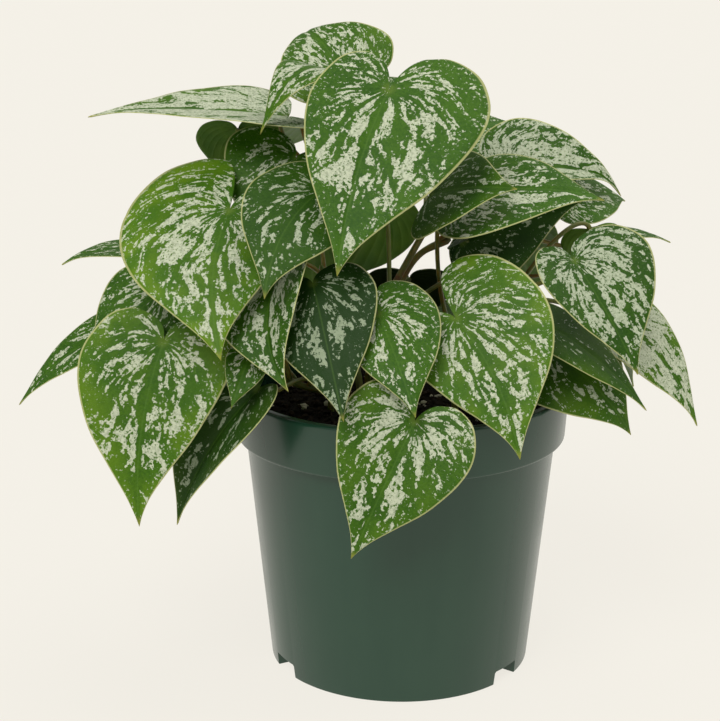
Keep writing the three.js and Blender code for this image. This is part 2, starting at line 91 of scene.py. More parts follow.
# Every leaf: base is its sinus and tip its point. face is the direction that its upper side looks in, in
# degrees around from the front and up. width is its full width. arch, sway and hook bend the midrib up,
# sideways and down at the point, as shares of the length. A pair holds the left and the right half's
# values: fold raises a half in degrees, lobe lengthens it past the stalk, and notch narrows the sinus.
# skew widens the right half.
LEAVES = {
    "leaf_01": {"base": (-27, 30, 286), "tip": (-50, 70, 305), "face": (-10, 50), "width": 60,
                "arch": 0.16, "hook": 0.1, "lobe": 0.5},
    "leaf_02": {"base": (-24, 6, 283), "tip": (-65, -37, 267), "face": (-34, 50), "width": 47,
                "skew": 0.08, "arch": 0.32},
    "leaf_03": {"base": (-7, -35, 287), "tip": (-30, -85, 212), "face": (0, 30), "width": 80,
                "skew": 0.2, "sway": -0.035, "arch": 0.04, "fold": 4, "lobe": (1, 1.4)},
    "leaf_04": {"base": (-54, 4, 270), "tip": (-147, -8, 273), "face": (-10, 80), "width": 70,
                "arch": 0.03, "fold": (5, 8), "hook": 0.02, "lobe": (0, 1)},
    "leaf_05": {"base": (-79, 18, 262), "tip": (-76, 28, 228), "face": (180, 20), "width": 42},
    "leaf_07": {"base": (-50, -12, 253), "tip": (-73, -32, 214), "face": (-5, 35), "width": 66,
                "arch": 0.05},
    "leaf_08": {"base": (-79, -46, 234), "tip": (-80, -95, 177), "face": (-15, 35), "width": 80,
                "skew": -0.2, "sway": -0.06, "fold": (4, -16), "lobe": (2.9, 1.2), "notch": (0, 1)},
    "leaf_09": {"base": (-37, -50, 244), "tip": (-61, -94, 204), "face": (-8, 32), "width": 56,
                "sway": -0.08, "fold": (0, -8), "lobe": 1.6},
    "leaf_10": {"base": (-122, 8, 205), "tip": (-163, -6, 202), "face": (-10, 86), "width": 38,
                "hook": 0.04},
    "leaf_11": {"base": (-112, -30, 193), "tip": (-146, -45, 158), "face": (-20, 45), "width": 52,
                "arch": 0.08},
    "leaf_12": {"base": (-135, -20, 174), "tip": (-183, -25, 136), "face": (-40, 55), "width": 32,
                "arch": 0.08},
    "leaf_13": {"base": (-109, -58, 176), "tip": (-120, -80, 95), "face": (-8, 18), "width": 70,
                "sway": -0.05, "arch": 0.03, "fold": 5, "notch": 0.3, "lobe": 0.85},
    "leaf_15": {"base": (-66, -64, 155), "tip": (-105, -62, 89), "face": (-40, 20), "width": 55,
                "skew": -0.08, "sway": -0.04, "arch": 0.05, "fold": (25, 30), "lobe": (1, 0.5)},
    "leaf_16": {"base": (-69, -70, 173), "tip": (-77, -84, 152), "face": (0, 35), "width": 20},
    "leaf_17": {"base": (-57, -57, 207), "tip": (-51, -98, 164), "face": (-30, 32), "width": 54,
                "sway": -0.1, "arch": 0.05, "fold": (20, 26), "lobe": (0.6, 0.1)},
    "leaf_18": {"base": (-41, -66, 205), "tip": (-27, -104, 152), "face": (0, 28), "width": 54,
                "lobe": 0.6, "fold": (-15, 0)},
    "leaf_19": {"base": (-12, -71, 192), "tip": (4, -104, 154), "face": (12, 32), "width": 46,
                "skew": 0.15, "arch": 0.05, "lobe": (0.3, 1.9), "fold": (-15, 3)},
    "leaf_20": {"base": (23, -62, 188), "tip": (50, -98, 133), "face": (-6, 30), "width": 70,
                "skew": 0.1, "sway": 0.06, "arch": 0.05, "fold": 5, "lobe": (0.6, 2.3),
                "notch": (1, 0)},
    "leaf_21": {"base": (4, -92, 149), "tip": (-24, -104, 89), "face": (-5, 18), "width": 62,
                "arch": 0.04, "fold": 4},
    "leaf_22": {"base": (78, -42, 210), "tip": (105, -68, 163), "face": (12, 30), "width": 58,
                "skew": 0.22, "arch": 0.05, "fold": (14, 2), "notch": 0.2},
    "leaf_23": {"base": (101, -18, 179), "tip": (142, -24, 125), "face": (40, 35), "width": 46,
                "sway": 0.03, "arch": 0.08},
    "leaf_24": {"base": (67, -46, 180), "tip": (112, -54, 142), "face": (30, 60), "width": 34,
                "lobe": 2},
    "leaf_25": {"base": (67, -26, 164), "tip": (108, -38, 125), "face": (15, 25), "width": 54,
                "arch": 0.2},
    "leaf_26": {"base": (50, 24, 242), "tip": (109, 20, 236), "face": (10, 55), "width": 52,
                "arch": 0.08, "fold": 25, "hook": 0.16},
    "leaf_27": {"base": (80, 14, 228), "tip": (114, 46, 222), "face": (40, 55), "width": 36,
                "arch": 0.1},
    "leaf_28": {"base": (31, -11, 235), "tip": (92, -32, 237), "face": (5, 60), "width": 64,
                "skew": -0.08, "arch": 0.07, "hook": 0.02},
    "leaf_29": {"base": (13, -22, 237), "tip": (50, -54, 245), "face": (-5, 45), "width": 54,
                "skew": -0.05, "lobe": (0.2, 1)},
    "leaf_30": {"base": (28, -20, 214), "tip": (84, -25, 235), "face": (0, 60), "width": 52,
                "fold": (-45, -33)},
    "leaf_31": {"base": (98, 20, 210), "tip": (135, 30, 204), "face": (20, 86), "width": 28,
                "arch": 0.08},
    "leaf_32": {"base": (-8, -10, 229), "tip": (-30, -35, 197), "face": (170, 10), "width": 40},
    "leaf_33": {"base": (28, 52, 255), "tip": (58, 74, 258), "face": (20, 60), "width": 40},
    "leaf_34": {"base": (41, 14, 207), "tip": (37, 0, 174), "face": (-10, 30), "width": 34},
    "leaf_36": {"base": (90, -5, 217), "tip": (93, -20, 194), "face": (175, 10), "width": 30,
                "lobe": 0.3},
    "leaf_37": {"base": (-6, 24, 276), "tip": (16, 44, 281), "face": (0, 60), "width": 34},
    "leaf_41": {"base": (-42, 64, 214), "tip": (-46, 104, 160), "face": (185, 30), "width": 58,
                "arch": 0.05},
    "leaf_42": {"base": (50, 52, 214), "tip": (76, 94, 162), "face": (150, 30), "width": 58,
                "arch": 0.05},
    "leaf_43": {"base": (-82, 44, 208), "tip": (-114, 74, 158), "face": (-135, 30), "width": 54,
                "arch": 0.05},
    "leaf_44": {"base": (82, 32, 194), "tip": (119, 48, 149), "face": (112, 30), "width": 52,
                "arch": 0.05},
    "leaf_45": {"base": (-106, 22, 184), "tip": (-140, 36, 138), "face": (-112, 30), "width": 48,
                "arch": 0.05},
    "leaf_46": {"base": (96, 2, 170), "tip": (118, 20, 132), "face": (95, 30), "width": 44,
                "arch": 0.05},
    "leaf_47": {"base": (-110, 4, 160), "tip": (-138, 14, 112), "face": (-95, 25), "width": 48,
                "arch": 0.05},
    "leaf_48": {"base": (16, 68, 246), "tip": (30, 102, 212), "face": (162, 42), "width": 58},
    "leaf_49": {"base": (-48, 48, 262), "tip": (-76, 88, 234), "face": (-150, 50), "width": 62},
    "leaf_50": {"base": (32, 78, 158), "tip": (44, 106, 104), "face": (165, 22), "width": 56,
                "arch": 0.05},
    "leaf_51": {"base": (-36, 78, 156), "tip": (-50, 106, 102), "face": (-162, 22), "width": 58,
                "arch": 0.05},
    "leaf_52": {"base": (80, 48, 148), "tip": (104, 68, 100), "face": (125, 20), "width": 52,
                "arch": 0.05},
    "leaf_53": {"base": (-84, 44, 150), "tip": (-112, 62, 102), "face": (-125, 20), "width": 52,
                "arch": 0.05},
    "leaf_54": {"base": (5, 40, 184), "tip": (4, 54, 148), "face": (180, 25), "width": 46},
}

# Every vine: root is where it stands in the soil, path the points that its stem passes above the soil,
# and each of its leaves has the height of the stem's node that its stalk grows from. bend, rise, reach
# and slant shape the stalk.
VINES = {
    "vine_1": {
        "root": (-26, 6),
        "path": ((-20, 5, 156), (-6, 1, 184), (9, 0, 212), (16, 2, 224)),
        "radius": 1.9,
        "leaves": {
            "leaf_28": {"node": 219},
            "leaf_26": {"node": 221},
            "leaf_33": {"node": 223},
            "leaf_48": {"node": 216},
        },
    },
    "vine_2": {
        "root": (-10, 12),
        "path": ((-8, 10, 160), (-1, 6, 187), (9, 6, 203), (24, 9, 210)),
        "radius": 1.9,
        "leaves": {
            "leaf_27": {"node": 209},
            "leaf_31": {"node": 207},
            "leaf_30": {"node": 170, "bend": (16, 2, 190)},
        },
    },
    "vine_3": {
        "root": (-20, -10),
        "path": ((-24, -4, 165), (-26, 2, 205), (-22, 8, 240)),
        "radius": 2,
        "leaves": {
            "leaf_01": {"node": 236},
            "leaf_02": {"node": 232},
            "leaf_03": {"node": 220},
            "leaf_04": {"node": 215},
            "leaf_37": {"node": 238},
            "leaf_49": {"node": 205},
        },
    },
    "vine_4": {
        "root": (-34, 2),
        "path": ((-44, -2, 158), (-56, -8, 190), (-62, -8, 212)),
        "radius": 1.9,
        "leaves": {
            "leaf_08": {"node": 180, "bend": (-84, -22, 196), "reach": 10},
            "leaf_09": {"node": 180},
            "leaf_07": {"node": 206},
            "leaf_05": {"node": 209, "slant": 60},
            "leaf_10": {"node": 186, "rise": 0},
            "leaf_45": {"node": 162},
        },
    },
    "vine_5": {
        "root": (-34, -18),
        "path": ((-48, -26, 146), (-64, -34, 156)),
        "radius": 1.7,
        "leaves": {
            "leaf_13": {"node": 152},
            "leaf_12": {"node": 153},
            "leaf_11": {"node": 155},
            "leaf_15": {"node": 142},
            "leaf_16": {"node": 149, "bend": (-60, -46, 192), "reach": 5},
            "leaf_17": {"node": 144, "reach": 10},
            "leaf_47": {"node": 147},
        },
    },
    "vine_6": {
        "root": (-8, -32),
        "path": ((-8, -38, 148), (-6, -46, 162)),
        "radius": 1.7,
        "leaves": {
            "leaf_32": {"node": 160},
            "leaf_18": {"node": 152},
            "leaf_19": {"node": 159},
            "leaf_20": {"node": 156},
            "leaf_21": {"node": 142},
        },
    },
    "vine_7": {
        "root": (26, -14),
        "path": ((34, -18, 150), (44, -22, 170), (50, -24, 182)),
        "radius": 1.8,
        "leaves": {
            "leaf_22": {"node": 180},
            "leaf_24": {"node": 160},
            "leaf_25": {"node": 148},
            "leaf_23": {"node": 180, "rise": 20, "reach": 8},
            "leaf_36": {"node": 176, "slant": 60},
        },
    },
    "vine_8": {
        "root": (24, 16),
        "path": ((34, 24, 150), (42, 30, 172), (46, 32, 190)),
        "radius": 1.8,
        "leaves": {
            "leaf_29": {"node": 146, "bend": (10, 4, 196), "reach": 8},
            "leaf_34": {"node": 168},
            "leaf_42": {"node": 184},
            "leaf_44": {"node": 176},
            "leaf_46": {"node": 156},
            "leaf_50": {"node": 146},
            "leaf_52": {"node": 150},
        },
    },
    "vine_9": {
        "root": (-16, 30),
        "path": ((-24, 36, 150), (-34, 40, 176), (-40, 42, 190)),
        "radius": 1.8,
        "leaves": {
            "leaf_41": {"node": 186},
            "leaf_43": {"node": 178},
            "leaf_51": {"node": 146},
            "leaf_53": {"node": 152},
            "leaf_54": {"node": 149, "slant": 60},
        },
    },
}

# How each leaf is coloured: silver is how much silver it has, lime how young and yellow-green it is, and
# the third value how far painted shade darkens it, where it lies in shade under other leaves or at the
# back. A leaf that isn't named has the plain look.
PLAIN_LOOK = (0.5, 0.0, 0.0)
LOOKS = {
    "leaf_01": (0.6, 0.25, 0.0),
    "leaf_02": (0.75, 0.3, 0.0),
    "leaf_03": (0.5, 0.0, 0.0),
    "leaf_04": (1.1, 0.3, 0.0),
    "leaf_08": (0.6, 0.7, 0.0),
    "leaf_09": (0.4, 0.0, 0.45),
    "leaf_13": (0.5, 0.5, 0.0),
    "leaf_15": (0.4, 0.1, 0.8),
    "leaf_17": (0.65, 0.0, 0.2),
    "leaf_18": (0.45, 0.0, 0.95),
    "leaf_20": (0.58, 0.5, 0.0),
    "leaf_21": (0.62, 0.2, 0.1),
    "leaf_22": (0.75, 0.0, 0.4),
    "leaf_23": (1.1, 0.4, 0.0),
    "leaf_24": (0.1, 0.2, 0.4),
    "leaf_25": (0.4, 0.3, 0.3),
    "leaf_26": (0.95, 0.0, 0.2),
    "leaf_29": (0.35, 0.2, 0.45),
    "leaf_30": (0.3, 0.0, 0.7),
    "leaf_34": (0.25, 0.0, 0.9),
    "leaf_54": (0.2, 0.0, 0.9),
}


# How reddish-brown a vine's stem and stalks are. The others are almost plain.
VINE_REDNESS = {"vine_1": 0.9, "vine_2": 0.5}


def direction(around, up):
    a, e = math.radians(around), math.radians(up)
    return np.array([math.sin(a) * math.cos(e), -math.cos(a) * math.cos(e), math.sin(e)])


def smooth(x):
    x = np.clip(x, 0, 1)
    return x * x * (3 - 2 * x)


def half(value, side):
    return value[0 if side < 0 else 1] if isinstance(value, tuple) else value


def outline_at(v):
    """The outline as a smooth curve, from beside the sinus (0) to the tip (1)."""
    last = len(OUTLINE) - 1
    i = np.minimum(np.floor(v * last).astype(int), last - 1)
    t = (v * last - i)[..., None]
    knots = np.vstack([2 * OUTLINE[0] - OUTLINE[1], OUTLINE, 2 * OUTLINE[-1] - OUTLINE[-2]])
    p0, p1, p2, p3 = knots[i], knots[i + 1], knots[i + 2], knots[i + 3]
    cubic = (3 * p1 - p0 - 3 * p2 + p3) * t ** 3
    return 0.5 * (2 * p1 + (p2 - p0) * t + (2 * p0 - 5 * p1 + 4 * p2 - p3) * t ** 2 + cubic)


class Blade:
    """A leaf's own directions and curved middle surface."""

    def __init__(self, leaf):
        self.leaf = leaf
        self.base = np.array(leaf["base"], float)
        self.along = np.array(leaf["tip"], float) - self.base
        self.length = np.linalg.norm(self.along)
        self.along /= self.length
        up = direction(*leaf["face"])
        up -= up.dot(self.along) * self.along
        self.up = up / np.linalg.norm(up)
        self.across = np.cross(self.up, self.along)

    def midrib(self, b):
        """Height, slope and sideways shift of the midrib, as shares of the length."""
        arch, hook, sway = (self.leaf.get(k, d) for k, d in (("arch", 0.06), ("hook", 0.0), ("sway", 0.0)))
        end = np.maximum((b - HOOK_START) / HOOK_SHARE, 0)
        height = 4 * arch * b * (1 - b) - hook * end * end
        slope = 4 * arch * (1 - 2 * b) - 2 * hook * end / HOOK_SHARE
        return height, slope, 4 * sway * np.where(b < 0, 0.4 * b, b * (1 - b))

    def normal_at(self, b):
        _, slope, _ = self.midrib(b)
        n = self.up - np.asarray(slope)[..., None] * self.along
        return n / np.linalg.norm(n, axis=-1, keepdims=True)

    def plane(self, v, w, side):
        """A point of the flat leaf, across and along, as shares of the length."""
        leaf = self.leaf
        lobe, notch = half(leaf.get("lobe", 1), side), half(leaf.get("notch", 1), side)
        out = outline_at(v)
        edge = out[..., 1] - 0.16 * (lobe - 1) * (1 - smooth(v / 0.6))
        tight = (1 - notch) * (1 - smooth(v / 0.2))
        start = np.maximum((v - SINUS_V) / (1 - SINUS_V), 0) ** 1.5
        bow = smooth(v / 0.4)
        bend_a = out[..., 0] * (0.25 + 0.3 * bow) * (1 - tight)
        bend_b = start + (edge - start) * (0.75 - 0.45 * bow + 0.15 * tight)
        scale = leaf["width"] / 2 / self.length * (1 + side * leaf.get("skew", 0))
        a = (2 * w * (1 - w) * bend_a + w * w * out[..., 0]) * scale
        b = (1 - w) ** 2 * start + 2 * w * (1 - w) * bend_b + w * w * edge
        return a, b

    def point(self, v, w, side):
        a, b = self.plane(v, w, side)
        fold = math.radians(half(self.leaf.get("fold", 0), side))
        height, _, shift = self.midrib(b)
        return (self.base + self.length * (
            b[..., None] * self.along
            + height[..., None] * self.up
            + (shift + side * a * math.cos(fold))[..., None] * self.across
            + (a * math.sin(fold))[..., None] * self.normal_at(b)
        ))


# Fine relief of a blade, in millimetres.
RIB_GROOVE = 0.5
RIB_RIDGE = 0.55
RIB_WIDTH = 1.5
QUILT = 0.22
WAVE = 0.5

# Side veins fan out from the sinus and bend towards the tip.
VEIN_BEND = 2.2
VEINS_PER_RADIAN = 3.0

# The silver pattern is a sum of clouds, each with its fineness across and along the side veins and its
# weight, a ragged noise and small blocks. It is silver above the threshold, which a leaf's share of
# silver lowers.
VEIN_CLOUDS = ((5.4, 7.0, 0.38), (13.0, 15.0, 0.27))
RAGGED_WEIGHT = 0.29
BLOCK_WEIGHT = 0.06
SILVER_THRESHOLD = 0.597
SILVER_SHARE = 0.14

GREEN_DARK = (0.024, 0.088, 0.002)
GREEN_LIGHT = (0.056, 0.150, 0.005)
# Painted shade: the deep green that leaves lying in shade are darkened towards.
GREEN_PAINTED_SHADE = (0.010, 0.040, 0.003)
LIME_DARK = (0.080, 0.200, 0.004)
LIME_LIGHT = (0.160, 0.290, 0.008)
RIB_GREEN = (0.110, 0.230, 0.030)
SINUS_GREEN = (0.200, 0.290, 0.040)
SILVER_DARK = (0.39, 0.44, 0.30)
SILVER_LIGHT = (0.60, 0.65, 0.475)
# Painted shade: the dull silver that leaves lying in shade are darkened towards.
SILVER_PAINTED_SHADE = (0.24, 0.32, 0.19)
MARGIN_CREAM = (0.56, 0.58, 0.25)
TIP_YELLOW = (0.45, 0.40, 0.08)
UPPER_GLOW = (0.16, 0.34, 0.01)
UNDER_DARK = (0.070, 0.165, 0.010)
UNDER_LIGHT = (0.130, 0.240, 0.018)
UNDER_RIB = (0.20, 0.29, 0.06)
UNDER_VEIN = (0.17, 0.26, 0.05)
# Painted shade: the near-black green that undersides lying in shade are darkened towards.
UNDER_PAINTED_SHADE = (0.004, 0.012, 0.001)
UNDER_GLOW = (0.30, 0.60, 0.03)
STALK_DARK = (0.085, 0.125, 0.020)
STALK_LIGHT = (0.190, 0.225, 0.048)
STALK_RED = (0.120, 0.048, 0.018)
SOIL_DARK = (0.003, 0.002, 0.0015)
SOIL_LIGHT = (0.016, 0.010, 0.006)
SOIL_FLECK = (0.050, 0.034, 0.022)
BARK_DARK = (0.005, 0.003, 0.002)
BARK_LIGHT = (0.034, 0.019, 0.010)
PERLITE_DARK = (0.42, 0.37, 0.26)
PERLITE_LIGHT = (0.66, 0.62, 0.50)
PLASTIC_DARK = (0.011, 0.048, 0.026)
PLASTIC_LIGHT = (0.014, 0.053, 0.029)
PLASTIC_SCUFF = (0.085, 0.115, 0.085)
FLOOR_DARK = (0.084, 0.082, 0.076)
FLOOR_LIGHT = (0.086, 0.084, 0.078)


class Graph:
    """Short names for making and joining shader nodes."""

    def __init__(self, name):
        self.material = bpy.data.materials.new(name)
        self.material.use_nodes = True
        self.tree = self.material.node_tree
        self.tree.nodes.clear()

    def node(self, kind, **values):
        n = self.tree.nodes.new(kind)
        for key, value in values.items():
            setattr(n, key, value)
        return n

    def put(self, socket, value):
        if isinstance(value, bpy.types.NodeSocket):
            self.tree.links.new(value, socket)
        elif isinstance(value, (tuple, list)) and len(value) == 3 and socket.type == "RGBA":
            socket.default_value = (*value, 1)
        else:
            socket.default_value = value

    def math(self, operation, a, b=0.0, c=0.0, clamp=False):
        n = self.node("ShaderNodeMath", operation=operation, use_clamp=clamp)
        for socket, value in zip(n.inputs, (a, b, c)):
            self.put(socket, value)
        return n.outputs[0]

    def vector(self, operation, a, b=(0, 0, 0)):
        n = self.node("ShaderNodeVectorMath", operation=operation)
        self.put(n.inputs[0], a)
        self.put(n.inputs[1], b)
        return n.outputs[0]

    def place(self):
        return self.node("ShaderNodeTexCoord").outputs["Object"]

    def attribute(self, name):
        return self.node("ShaderNodeAttribute", attribute_name=name).outputs["Vector"]

    def parts(self, vector):
        n = self.node("ShaderNodeSeparateXYZ")
        self.put(n.inputs[0], vector)
        return n.outputs

    def join(self, x, y, z):
        n = self.node("ShaderNodeCombineXYZ")
        for socket, value in zip(n.inputs, (x, y, z)):
            self.put(socket, value)
        return n.outputs[0]

    def noise(self, vector, scale, detail=2.0, roughness=0.5):
        n = self.node("ShaderNodeTexNoise")
        self.put(n.inputs["Vector"], vector)
        n.inputs["Scale"].default_value = scale
        n.inputs["Detail"].default_value = detail
        n.inputs["Roughness"].default_value = roughness
        return n.outputs["Fac"]

    def cells(self, vector, scale):
        """A random number for each of many small cells."""
        n = self.node("ShaderNodeTexVoronoi")
        self.put(n.inputs["Vector"], vector)
        n.inputs["Scale"].default_value = scale
        return self.parts(n.outputs["Color"])[0]

    def ramp(self, value, low, high, start=0.0, end=1.0, smoothly=True):
        n = self.node("ShaderNodeMapRange", interpolation_type="SMOOTHSTEP" if smoothly else "LINEAR")
        for socket, v in zip(n.inputs, (value, low, high, start, end)):
            self.put(socket, v)
        return n.outputs[0]

    def mix(self, factor, a, b):
        n = self.node("ShaderNodeMix", data_type="RGBA")
        self.put(n.inputs["Factor"], factor)
        self.put(n.inputs[6], a)
        self.put(n.inputs[7], b)
        return n.outputs[2]

    def bump(self, height, strength, distance):
        n = self.node("ShaderNodeBump")
        self.put(n.inputs["Height"], height)
        n.inputs["Strength"].default_value = strength
        n.inputs["Distance"].default_value = distance
        return n.outputs[0]

    def surface(self, color, roughness, normal=None, **values):
        n = self.node("ShaderNodeBsdfPrincipled")
        self.put(n.inputs["Base Color"], color)
        self.put(n.inputs["Roughness"], roughness)
        if normal is not None:
            self.put(n.inputs["Normal"], normal)
        for key, value in values.items():
            self.put(n.inputs[key.replace("_", " ")], value)
        return n.outputs[0]

    def finish(self, shader):
        out = self.node("ShaderNodeOutputMaterial")
        self.tree.links.new(shader, out.inputs["Surface"])
        return self.material

    def blend(self, factor, a, b):
        n = self.node("ShaderNodeMixShader")
        self.put(n.inputs[0], factor)
        self.tree.links.new(a, n.inputs[1])
        self.tree.links.new(b, n.inputs[2])
        return n.outputs[0]


def leaf_places(g):
    """Where a point lies on its leaf. Returns its place in millimetres, the leaf's number, the distance
    from the midrib, how far out it is towards the margin (0 to 1), its distance from the sinus as a share
    of the leaf's length, and the direction of the side vein there."""
    flat = g.attribute("place")
    across, along, number = g.parts(flat)
    reach, length, _ = g.parts(g.attribute("spread"))
    squares = g.math("ADD", g.math("MULTIPLY", across, across), g.math("MULTIPLY", along, along))
    distance = g.math("DIVIDE", g.math("SQRT", squares), length)
    bend = g.math("MULTIPLY_ADD", g.math("MULTIPLY", distance, distance), VEIN_BEND, 1.0)
    vein = g.math("MULTIPLY", g.math("ARCTAN2", across, along), bend)
    return flat, number, g.math("ABSOLUTE", across), reach, distance, vein


def silver_pattern(g, flat, number, distance, vein):
    """A cloudy pattern that is drawn out along the side veins and has ragged edges."""
    wander = g.math("MULTIPLY_ADD", g.noise(flat, 0.05, 1.0), 0.5, -0.25)
    bent = g.math("ADD", vein, wander)
    pattern = g.math("MULTIPLY", g.noise(flat, 0.5, 3.0, 0.65), RAGGED_WEIGHT)
    for across_veins, along_veins, weight in VEIN_CLOUDS:
        stretched = g.join(g.math("MULTIPLY", bent, across_veins),
                           g.math("MULTIPLY", distance, along_veins), number)
        pattern = g.math("MULTIPLY_ADD", g.noise(stretched, 1.0, 1.0, 0.5), weight, pattern)
    blocks = g.cells(g.vector("ADD", flat, (0.0, 0.0, 4.0)), 0.95)
    return g.math("MULTIPLY_ADD", blocks, BLOCK_WEIGHT, pattern)


def silver_patches(g, silver):
    """1 where the leaf is silver, 0 where it is green. The midrib, sinus and margin stay mostly green."""
    flat, number, rib, reach, distance, vein = leaf_places(g)
    pattern = silver_pattern(g, flat, number, distance, vein)
    rib_width = g.ramp(distance, 0.1, 1.0, 3.4, 0.9, smoothly=False)
    plain_rib = g.math("MULTIPLY", g.ramp(g.math("DIVIDE", rib, rib_width), 0.3, 1.0, 0.13, 0.0),
                       g.ramp(distance, 0.02, 0.25, 0.1, 1.0))
    plain_edge = g.ramp(reach, 0.30, 0.92, -0.016, 0.040)
    plain_sinus = g.ramp(distance, 0.02, 0.14, 0.09, 0.0)
    threshold = g.math("MULTIPLY_ADD", silver, -SILVER_SHARE, SILVER_THRESHOLD)
    for plain in (plain_rib, plain_edge, plain_sinus):
        threshold = g.math("ADD", threshold, plain)
    patch = g.ramp(g.math("SUBTRACT", pattern, threshold), -0.002, 0.010)

    near_edge = g.ramp(reach, 0.45, 0.95)
    level = g.math("MULTIPLY_ADD", near_edge, -0.085, 0.69)
    freckles = g.ramp(g.math("SUBTRACT", g.noise(flat, 0.62, 3.0, 0.7), level), 0.0, 0.03)
    freckles = g.math("MULTIPLY", freckles, g.ramp(plain_rib, 0.0, 0.1, 0.85, 0.0))
    pits = g.noise(g.vector("ADD", flat, (31.0, 7.0, 0.0)), 1.0, 2.0, 0.6)
    silvery = g.ramp(pits, 0.58, 0.63, 1.0, 0.25)
    return g.math("MULTIPLY", g.math("MAXIMUM", patch, freckles), silvery, clamp=True)


def leaf_green(g, lime, painted_shade):
    """Mottled green, paler along the midrib and at the sinus, yellower towards a young leaf's margin, and
    darkened by painted shade where the leaf lies in shade.
    """
    flat, _, rib, reach, distance, _ = leaf_places(g)
    cloud = g.noise(flat, 0.06, 2.0, 0.5)
    grain = g.noise(flat, 0.9, 3.0, 0.7)
    mottle = g.math("ADD", g.math("MULTIPLY", cloud, 0.4), g.math("MULTIPLY", grain, 0.6))
    green = g.mix(g.ramp(mottle, 0.35, 0.65), GREEN_DARK, GREEN_LIGHT)
    # Painted shade: a leaf that lies in shade is darkened towards a deep green.
    green = g.mix(painted_shade, green, GREEN_PAINTED_SHADE)
    young = g.mix(g.ramp(cloud, 0.4, 0.6), LIME_DARK, LIME_LIGHT)
    green = g.mix(g.math("MULTIPLY", lime, g.ramp(reach, 0.4, 1.0, 0.3, 1.0)), green, young)
    green = g.mix(g.ramp(rib, 0.1, 0.6, 0.22, 0.0), green, RIB_GREEN)
    return g.mix(g.ramp(distance, 0.01, 0.05, 0.35, 0.0), green, SINUS_GREEN)


def leaf_material():
    """Green with jagged silver patches along the side veins, a plain midrib and a thin pale margin. On a
    leaf that lies in shade, green and silver are darkened by painted shade.
    """
    g = Graph("leaf_upper_side")
    # The third value of a leaf's look is how far painted shade darkens it.
    silver, lime, painted_shade = g.parts(g.attribute("look"))
    flat, _, _, reach, distance, vein = leaf_places(g)
    grey = g.mix(g.ramp(g.noise(flat, 0.7, 3.0, 0.6), 0.3, 0.6), SILVER_DARK, SILVER_LIGHT)
    # Painted shade: the silver of a leaf that lies in shade is darkened.
    grey = g.mix(g.math("MULTIPLY", painted_shade, 0.8), grey, SILVER_PAINTED_SHADE)
    color = g.mix(silver_patches(g, silver), leaf_green(g, lime, painted_shade), grey)
    color = g.mix(g.ramp(reach, 0.968, 0.985, 0.0, 0.85), color, MARGIN_CREAM)
    color = g.mix(g.ramp(distance, 0.93, 1.0, 0.0, 0.6), color, TIP_YELLOW)

    ribs = g.math("COSINE", g.math("MULTIPLY", vein, 2 * math.pi * VEINS_PER_RADIAN))
    height = g.math("MULTIPLY", ribs, 0.08)
    height = g.math("MULTIPLY_ADD", g.noise(flat, 0.5, 3.0, 0.65), 0.6, height)
    height = g.math("MULTIPLY_ADD", g.noise(flat, 1.6, 2.0), 0.8, height)
    skin = g.surface(color, 0.46, g.bump(height, 0.5, 0.0006), Specular_IOR_Level=0.18)
    glow = g.node("ShaderNodeBsdfTranslucent")
    g.put(glow.inputs["Color"], g.mix(0.5, color, UPPER_GLOW))
    return g.finish(g.blend(0.10, skin, glow.outputs[0]))


def underside_material():
    """Plain pale green with raised paler veins. On a leaf that lies in shade it is darkened by painted
    shade and glows less.
    """
    g = Graph("leaf_underside")
    flat, _, rib, _, _, vein = leaf_places(g)
    _, _, painted_shade = g.parts(g.attribute("look"))
    cloud = g.noise(flat, 0.09, 3.0, 0.55)
    color = g.mix(g.ramp(cloud, 0.3, 0.7), UNDER_DARK, UNDER_LIGHT)
    color = g.mix(g.ramp(rib, 0.3, 1.3, 0.6, 0.0), color, UNDER_RIB)
    wave = g.math("COSINE", g.math("MULTIPLY", vein, math.pi * VEINS_PER_RADIAN))
    ribs = g.math("POWER", g.math("ABSOLUTE", wave), 14.0)
    color = g.mix(g.math("MULTIPLY", ribs, 0.16), color, UNDER_VEIN)
    # Painted shade: the underside of a leaf that lies in shade is darkened nearly to black.
    color = g.mix(painted_shade, color, UNDER_PAINTED_SHADE)
    height = g.math("ADD", ribs, g.math("MULTIPLY", g.noise(flat, 1.2, 3.0), 0.5))
    skin = g.surface(color, 0.48, g.bump(height, 0.3, 0.0005), Specular_IOR_Level=0.4)
    glow = g.node("ShaderNodeBsdfTranslucent")
    g.put(glow.inputs["Color"], UNDER_GLOW)
    # Painted shade: less light seems to shine through a leaf that lies in shade.
    return g.finish(g.blend(g.math("MULTIPLY_ADD", painted_shade, -0.3, 0.3), skin, glow.outputs[0]))


def stalk_material():
    """Olive-green stalks with reddish-brown patches and fine lengthwise lines."""
    g = Graph("stalk_skin")
    run, around, red = g.parts(g.attribute("grain"))
    place = g.place()
    drawn = g.join(g.math("MULTIPLY", run, 0.05), g.math("MULTIPLY", around, 3.0), red)
    lines = g.noise(drawn, 2.0, 3.0, 0.6)
    patch = g.ramp(g.noise(place, 70.0, 3.0, 0.6), 0.50, 0.62)
    color = g.mix(g.ramp(lines, 0.35, 0.7), STALK_DARK, STALK_LIGHT)
    color = g.mix(g.math("MULTIPLY", patch, red), color, STALK_RED)
    bumps = g.noise(place, 900.0, 2.0, 0.5)
    height = g.math("ADD", g.math("MULTIPLY", lines, 0.7), g.math("MULTIPLY", bumps, 0.3))
    return g.finish(g.surface(color, 0.42, g.bump(height, 0.4, 0.0004), Subsurface_Weight=0.08))


